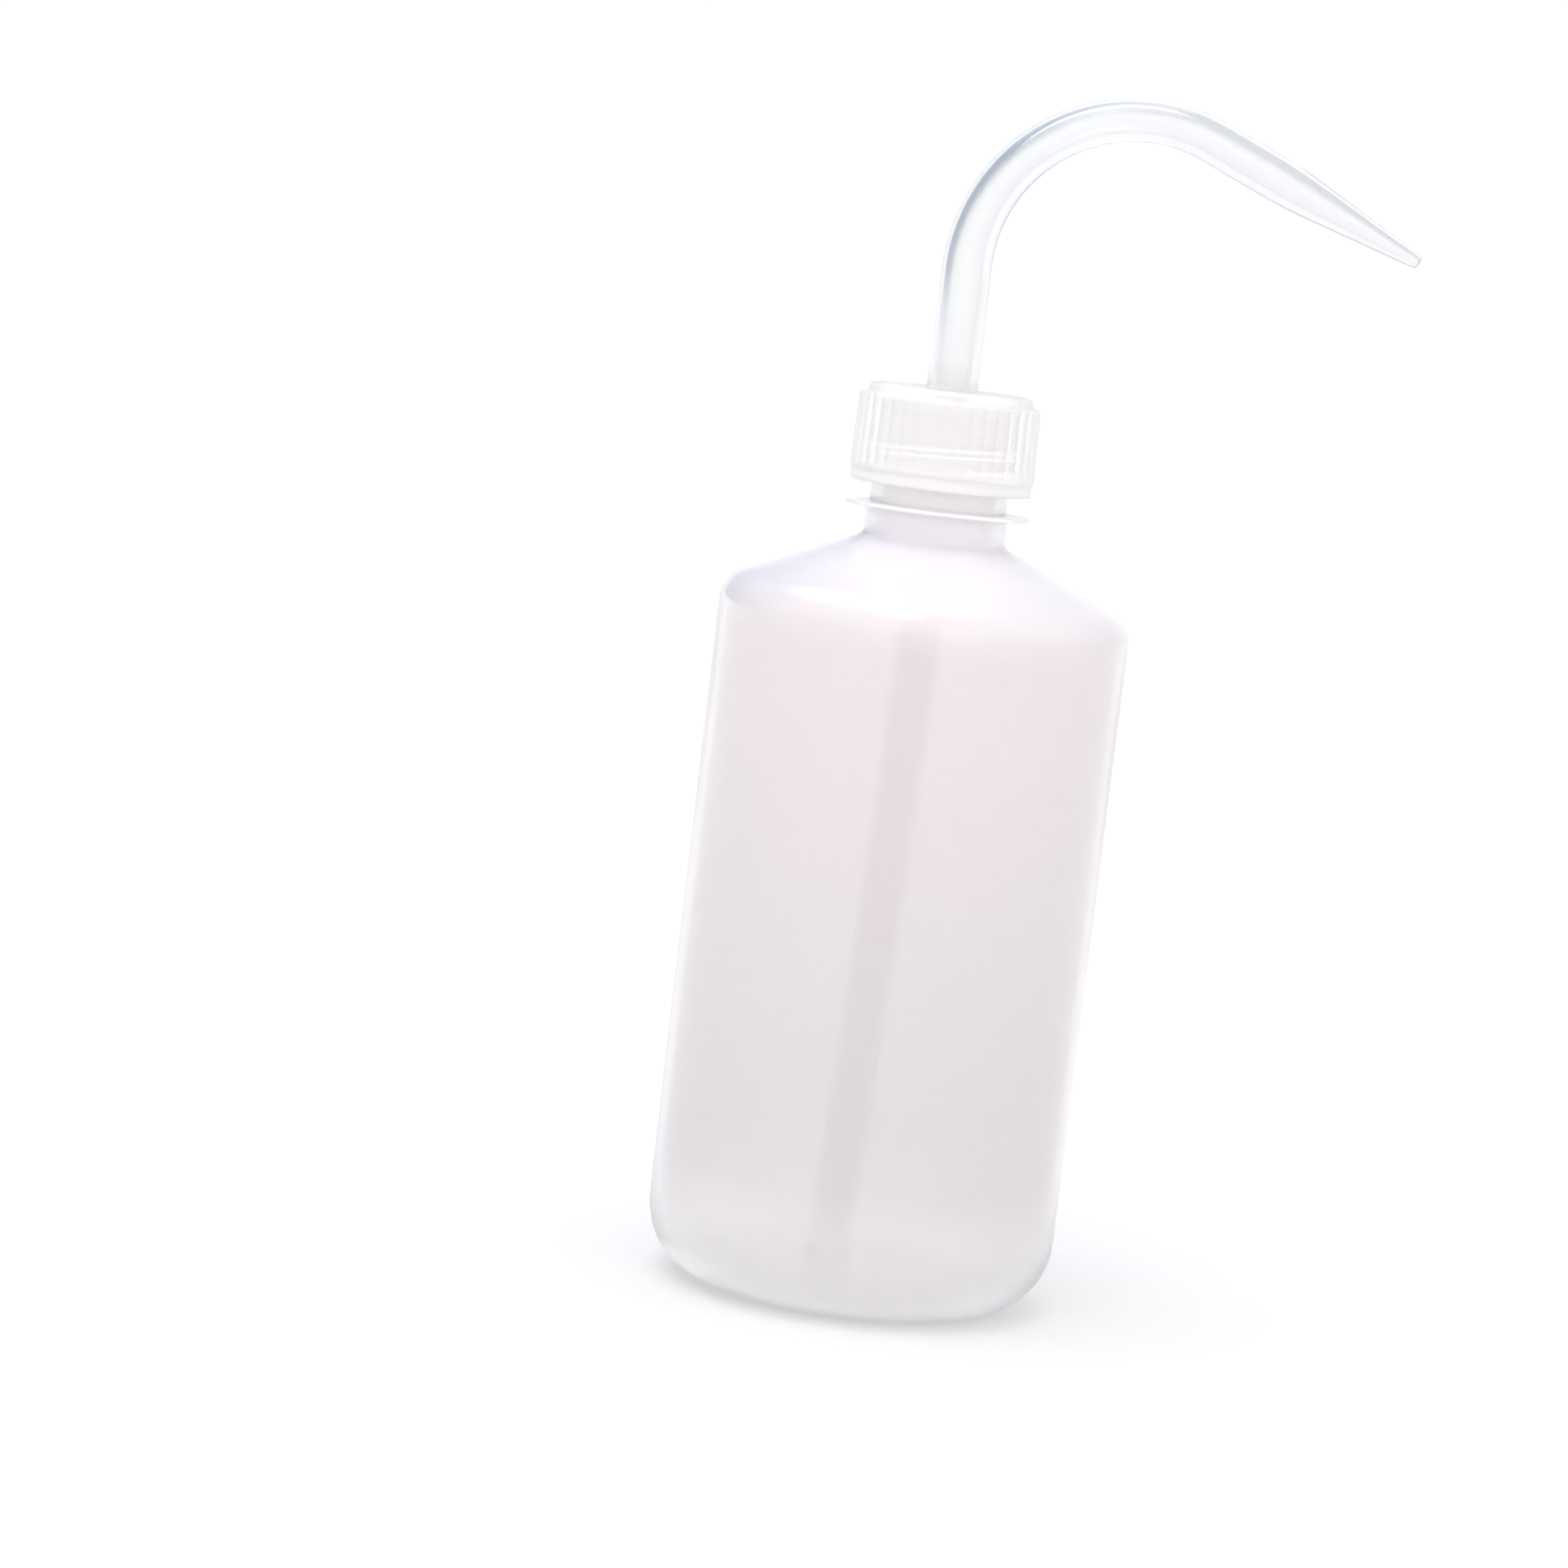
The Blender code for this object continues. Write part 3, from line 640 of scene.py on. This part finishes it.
def make_seal(material):
    """The flat ring, with the mark that the lip has pressed into its underside."""
    angles = np.arange(SEAL_COLUMNS) / SEAL_COLUMNS * TURN
    edge = SEAL_EDGE_R
    low = outline(
        run((SEAL_OUTER_R - edge, SEAL_LOW_Z), (UPPER_NECK_R, SEAL_LOW_Z), 2),
        run((UPPER_NECK_R - 0.25 * MM, SEAL_LOW_Z + LIP_PRINT_DEPTH),
            (NECK_BORE_R + 0.3 * MM, SEAL_LOW_Z + LIP_PRINT_DEPTH), 3),
        run((NECK_BORE_R, SEAL_LOW_Z), (SEAL_INNER_R + edge, SEAL_LOW_Z), 2))
    stations = outline(
        low,
        arc((SEAL_INNER_R + edge, SEAL_LOW_Z + edge), edge, -90.0, -180.0, 4),
        arc((SEAL_INNER_R + edge, SEAL_HIGH_Z - edge), edge, 180.0, 90.0, 4),
        run((SEAL_INNER_R + edge, SEAL_HIGH_Z), (SEAL_OUTER_R - edge, SEAL_HIGH_Z), 4),
        arc((SEAL_OUTER_R - edge, SEAL_HIGH_Z - edge), edge, 90.0, 0.0, 4),
        arc((SEAL_OUTER_R - edge, SEAL_LOW_Z + edge), edge, 0.0, -90.0, 4)[:-1])
    rings = [turned_ring(np.full_like(angles, r), z, angles) for r, z in stations]
    seal = surface("seal_ring", rings, looped=True)
    seal.data.materials.append(material)
    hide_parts("sealing_liner")
    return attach(seal, "seal")


# ---------------------------------------------------------------- materials

class Nodes:
    """A material's node tree, with a short call for each kind of node that the plastics use."""

    def __init__(self, name):
        self.material = bpy.data.materials.new(name)
        self.material.use_nodes = True
        self.tree = self.material.node_tree
        self.shader = self.tree.nodes["Principled BSDF"]
        self.place = self.node("ShaderNodeTexCoord").outputs["Object"]

    def node(self, kind, **settings):
        made = self.tree.nodes.new(kind)
        for key, value in settings.items():
            setattr(made, key, value)
        return made

    def link(self, source, target):
        self.tree.links.new(source, target)

    def stretched(self, scale):
        """The place on the piece, scaled by its own amount along each axis."""
        mapping = self.node("ShaderNodeMapping")
        mapping.inputs["Scale"].default_value = scale
        self.link(self.place, mapping.inputs["Vector"])
        return mapping.outputs["Vector"]

    def height(self):
        """The place's height above the base."""
        parts = self.node("ShaderNodeSeparateXYZ")
        self.link(self.place, parts.inputs["Vector"])
        return parts.outputs["Z"]

    def noise(self, scale, detail=2.0, vector=None):
        """Cloud noise from 0 to 1, with scale in features per metre."""
        made = self.node("ShaderNodeTexNoise")
        made.inputs["Scale"].default_value = scale
        made.inputs["Detail"].default_value = detail
        self.link(self.place if vector is None else vector, made.inputs["Vector"])
        return made.outputs["Fac"]

    def ranged(self, value, low, high, from_low=0.3, from_high=0.7):
        """A value spread from its own range to another."""
        made = self.node("ShaderNodeMapRange")
        made.inputs["From Min"].default_value = from_low
        made.inputs["From Max"].default_value = from_high
        made.inputs["To Min"].default_value = low
        made.inputs["To Max"].default_value = high
        self.link(value, made.inputs["Value"])
        return made.outputs["Result"]

    def math(self, operation, first, second):
        """A sum, product or other operation on two values."""
        made = self.node("ShaderNodeMath", operation=operation)
        for socket, value in zip(made.inputs, (first, second)):
            if isinstance(value, (int, float)):
                socket.default_value = value
            else:
                self.link(value, socket)
        return made.outputs["Value"]

    def mixed(self, factor, first, second):
        """A mix of two colours."""
        made = self.node("ShaderNodeMix", data_type="RGBA")
        sockets = (made.inputs["Factor"], made.inputs[6], made.inputs[7])
        for socket, value in zip(sockets, (factor, first, second)):
            if isinstance(value, (int, float)):
                socket.default_value = value
            elif isinstance(value, tuple):
                socket.default_value = (*value, 1.0)
            else:
                self.link(value, socket)
        return made.outputs[2]

    def bump(self, height, distance, strength=1.0):
        """Fine relief, with distance in metres."""
        made = self.node("ShaderNodeBump")
        made.inputs["Strength"].default_value = strength
        made.inputs["Distance"].default_value = distance
        self.link(height, made.inputs["Height"])
        self.link(made.outputs["Normal"], self.shader.inputs["Normal"])

    def see_through(self, roughness, transmission):
        """Milky towards light from outside, smooth and clear towards light that runs inside the wall."""
        inside = self.node("ShaderNodeNewGeometry").outputs["Backfacing"]
        outside = self.math("SUBTRACT", 1.0, inside)
        self.link(self.math("MULTIPLY", roughness, outside), self.shader.inputs["Roughness"])
        self.link(self.math("MAXIMUM", transmission, inside), self.shader.inputs["Transmission Weight"])

    def set(self, **values):
        """Values that are the same all over the piece."""
        for key, value in values.items():
            self.shader.inputs[key.replace("_", " ").title().replace("Ior", "IOR")].default_value = value


def bottle_material():
    """Natural low-density polyethylene, blown: milky, with clouds and upright draw lines, and painted shade
    that darkens the wall, most of all low down.
    """
    n = Nodes("natural_ldpe")
    clouds = n.noise(38.0, 2.0)
    draw_lines = n.noise(1.0, 2.0, n.stretched((420.0, 420.0, 9.0)))
    height = n.height()
    # Painted shade, darker towards the bottom. Over 1 is cut off, so the low wall's painted shade is whole
    # in the straight wall's lowest sixth
    low = n.ranged(height, 1.2, 0.0, BASE_CORNER_R, WALL_TOP_Z)
    shoulder = n.ranged(height, 0.0, 1.0, *SHOULDER_HEIGHTS)
    # Painted shade: the wall is darker than the base and neck; the clouds between the two tones are the
    # plastic's own
    tone = n.mixed(n.ranged(clouds, 0.0, 1.0), *WALL_CLOUD_AND_SHADE_TONES)
    tone = n.mixed(low, tone, LOW_WALL_PAINTED_SHADE)
    tone = n.mixed(n.ranged(height, 0.0, 1.0, *BASE_TONE_HEIGHTS), tone, BASE_TONE)
    tone = n.mixed(n.ranged(draw_lines, 0.0, 0.3), tone, DRAW_LINE_TONE)
    neck = n.ranged(height, 0.0, 1.0, *NECK_HEIGHTS)
    colour = n.mixed(shoulder, tone, n.mixed(neck, SHOULDER_TONE, NECK_TONE))
    n.link(colour, n.shader.inputs["Base Color"])
    haze = n.math("ADD", n.ranged(n.noise(120.0, 2.0), 0.07, 0.095), n.ranged(draw_lines, 0.0, 0.02))
    haze = n.math("ADD", haze, n.ranged(shoulder, 0.0, 0.06, 0.0, 1.0))
    haze = n.math("ADD", haze, n.ranged(height, 0.0, 0.16, *BASE_HAZE_HEIGHTS))
    n.see_through(haze, n.ranged(shoulder, 0.55, 0.22, 0.0, 1.0))
    n.bump(n.math("ADD", n.noise(500.0, 1.0), draw_lines), 0.004 * MM, 0.5)
    n.set(ior=1.5)
    return n.material


def closure_material():
    """Natural polypropylene, moulded: milky in the cap, clearer and glossier in the nozzle."""
    n = Nodes("natural_polypropylene")
    nozzle = n.ranged(n.height(), 0.0, 1.0, *NOZZLE_HEIGHTS)
    flow = n.noise(1.0, 2.0, n.stretched((150.0, 150.0, 60.0)))
    cap_tone = n.mixed(n.ranged(flow, 0.0, 1.0), *CAP_TONES)
    colour = n.mixed(nozzle, cap_tone, NOZZLE_TONE)
    n.link(colour, n.shader.inputs["Base Color"])
    haze = n.math("ADD", n.ranged(flow, 0.34, 0.38), n.ranged(n.noise(400.0, 2.0), 0.0, 0.04, 0.5, 0.8))
    haze = n.math("SUBTRACT", haze, n.math("MULTIPLY", nozzle, 0.2))
    n.see_through(haze, n.ranged(nozzle, 0.33, 0.85, 0.0, 1.0))
    n.set(ior=1.49)
    return n.material


def tube_material():
    """Extruded soft polyethylene: milky, with fine lines along the tube."""
    n = Nodes("soft_ldpe_tube")
    lines = n.noise(1.0, 2.0, n.stretched((1500.0, 1500.0, 14.0)))
    colour = n.mixed(n.ranged(lines, 0.0, 1.0), *TUBE_TONES)
    n.link(colour, n.shader.inputs["Base Color"])
    n.see_through(n.ranged(lines, 0.2, 0.28), 0.8)
    n.set(ior=1.5)
    return n.material


def seal_material():
    """Foamed polyethylene: pale, soft and full of fine cells."""
    n = Nodes("foamed_polyethylene")
    cells = n.node("ShaderNodeTexVoronoi", feature="DISTANCE_TO_EDGE")
    cells.inputs["Scale"].default_value = 3200.0
    n.link(n.place, cells.inputs["Vector"])
    inside_cell = n.ranged(cells.outputs["Distance"], 0.0, 1.0, 0.0, 0.3)
    colour = n.mixed(inside_cell, *FOAM_TONES)
    n.link(colour, n.shader.inputs["Base Color"])
    n.link(n.ranged(n.noise(500.0), 0.5, 0.65), n.shader.inputs["Roughness"])
    n.bump(inside_cell, 0.03 * MM, 0.6)
    n.set(ior=1.5)
    return n.material


# ---------------------------------------------------------------- floor, light and camera

def make_floor():
    """A wide, plain, near-white floor."""
    n = Nodes("pale_floor")
    tone = n.mixed(n.noise(3.0, 2.0), *FLOOR_TONES)
    n.link(tone, n.shader.inputs["Base Color"])
    n.set(emission_color=(1.0, 1.0, 1.0, 1.0), emission_strength=FLOOR_GLOW)
    n.link(n.ranged(n.noise(20.0), 0.75, 0.85), n.shader.inputs["Roughness"])
    n.set(specular_ior_level=0.1)
    corners = [(x * FLOOR_HALF, y * FLOOR_HALF, 0.0) for x, y in ((-1, -1), (1, -1), (1, 1), (-1, 1))]
    mesh = bpy.data.meshes.new("floor")
    mesh.from_pydata(corners, [], [(0, 1, 2, 3)])
    mesh.materials.append(n.material)
    floor = bpy.data.objects.new("floor", mesh)
    bpy.context.scene.collection.objects.link(floor)


def make_world():
    """A white studio with darker zones, and a fine grain in its strength that averages to about one."""
    world = bpy.data.worlds.new("studio")
    world.use_nodes = True
    bpy.context.scene.world = world
    tree = world.node_tree
    direction = tree.nodes.new("ShaderNodeTexCoord").outputs["Generated"]
    colour = None
    for centre, reach, tone in WORLD_ZONES:
        towards = tree.nodes.new("ShaderNodeVectorMath")
        towards.operation = "DOT_PRODUCT"
        towards.inputs[1].default_value = Vector(centre).normalized()
        tree.links.new(direction, towards.inputs[0])
        spread = tree.nodes.new("ShaderNodeMapRange")
        spread.interpolation_type = "SMOOTHSTEP"
        spread.inputs["From Min"].default_value, spread.inputs["From Max"].default_value = reach
        tree.links.new(towards.outputs["Value"], spread.inputs["Value"])
        mix = tree.nodes.new("ShaderNodeMix")
        mix.data_type = "RGBA"
        mix.inputs[6].default_value = (*WORLD_FRONT, 1.0)
        if colour is not None:
            tree.links.new(colour, mix.inputs[6])
        mix.inputs[7].default_value = (*tone, 1.0)
        tree.links.new(spread.outputs["Result"], mix.inputs["Factor"])
        colour = mix.outputs[2]
    background = tree.nodes["Background"]
    tree.links.new(colour, background.inputs["Color"])
    grain = tree.nodes.new("ShaderNodeTexWhiteNoise")
    tree.links.new(direction, grain.inputs["Vector"])
    strength = tree.nodes.new("ShaderNodeMapRange")
    strength.inputs["To Min"].default_value, strength.inputs["To Max"].default_value = WORLD_GRAIN
    tree.links.new(grain.outputs["Value"], strength.inputs["Value"])
    tree.links.new(strength.outputs["Result"], background.inputs["Strength"])


def make_lights():
    """One wide soft lamp overhead, the same for the whole floor."""
    sun = bpy.data.lights.new("ceiling_panel", "SUN")
    sun.energy = LAMP_STRENGTH
    sun.angle = LAMP_ANGLE
    lamp = bpy.data.objects.new("ceiling_panel", sun)
    lamp.rotation_euler = LAMP_TURN
    bpy.context.scene.collection.objects.link(lamp)


def make_camera():
    """The camera at the photograph's viewing angle."""
    data = bpy.data.cameras.new("camera")
    data.sensor_width = CAMERA_SENSOR
    data.lens = CAMERA_LENS
    data.clip_start, data.clip_end = 0.01, 100.0
    camera = bpy.data.objects.new("camera", data)
    turn = Matrix.Rotation(math.pi / 2 - CAMERA_PITCH, 4, "X") @ Matrix.Rotation(CAMERA_ROLL, 4, "Z")
    camera.matrix_world = Matrix.Translation(CAMERA_PLACE) @ turn
    bpy.context.scene.collection.objects.link(camera)
    bpy.context.scene.camera = camera


def set_picture():
    """Whites stay white, and light can pass through every wall of the cap and the neck."""
    scene = bpy.context.scene
    scene.view_settings.view_transform = "Standard"
    scene.cycles.denoising_input_passes = "RGB"
    scene.cycles.max_bounces = 64
    scene.cycles.diffuse_bounces = 64
    scene.cycles.glossy_bounces = 32
    scene.cycles.transmission_bounces = 64
    scene.cycles.transparent_max_bounces = 16


make_bottle(bottle_material())
make_closure(closure_material())
make_draw_tube(tube_material())
make_seal(seal_material())
make_floor()
make_world()
make_lights()
make_camera()
set_picture()
